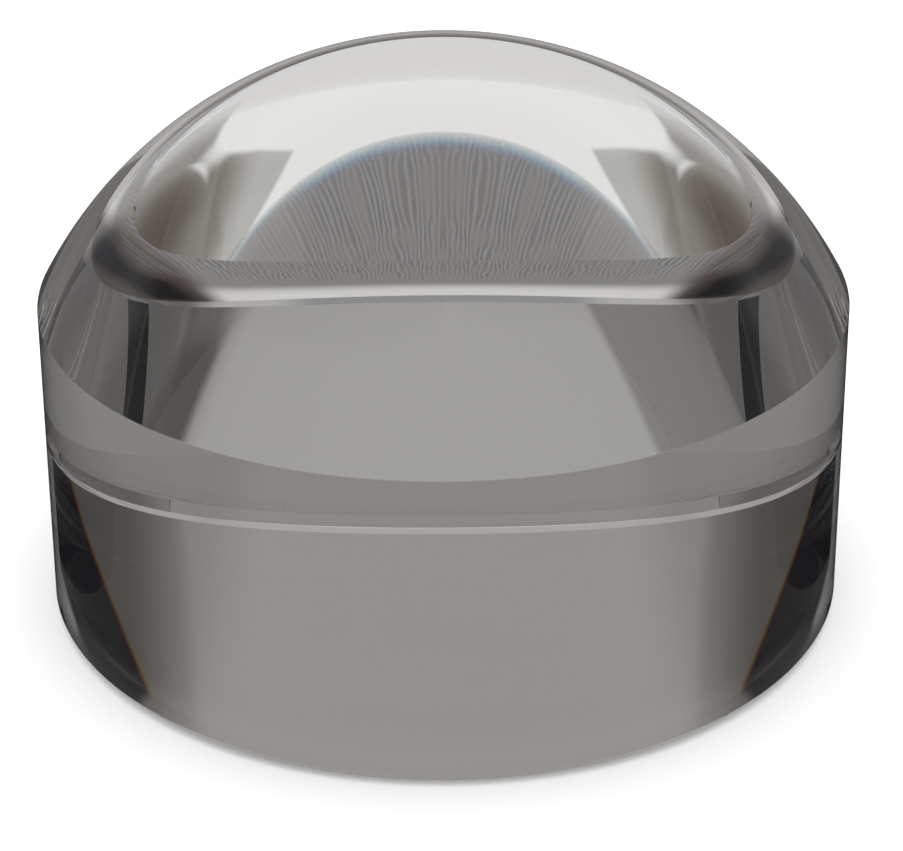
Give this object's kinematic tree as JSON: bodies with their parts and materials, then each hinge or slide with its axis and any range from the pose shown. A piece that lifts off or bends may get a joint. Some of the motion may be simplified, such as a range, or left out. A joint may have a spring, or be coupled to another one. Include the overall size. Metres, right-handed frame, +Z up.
{
  "type": "dome magnifier",
  "caption": "Solid clear acrylic dome magnifier for low vision: a spherical reading dome on a straight round wall, with a flat polished base that lies on the page.",
  "frame": {"origin": "centre of the flat base", "axes": "+Z up along the optical axis, from the base to the dome's crown; X and Y lie in the base and are interchangeable, because the lens is round"},
  "size_m": [0.065, 0.065, 0.0457],
  "materials": {
    "clear_acrylic": "clear, colourless cast acrylic (PMMA, refractive index 1.491), polished on every face: the straight wall keeps faint upright turning ripples and a few handling scuffs"
  },
  "bodies": {
    "root": {"dome_lens": "clear_acrylic"}
  },
  "joints": []
}
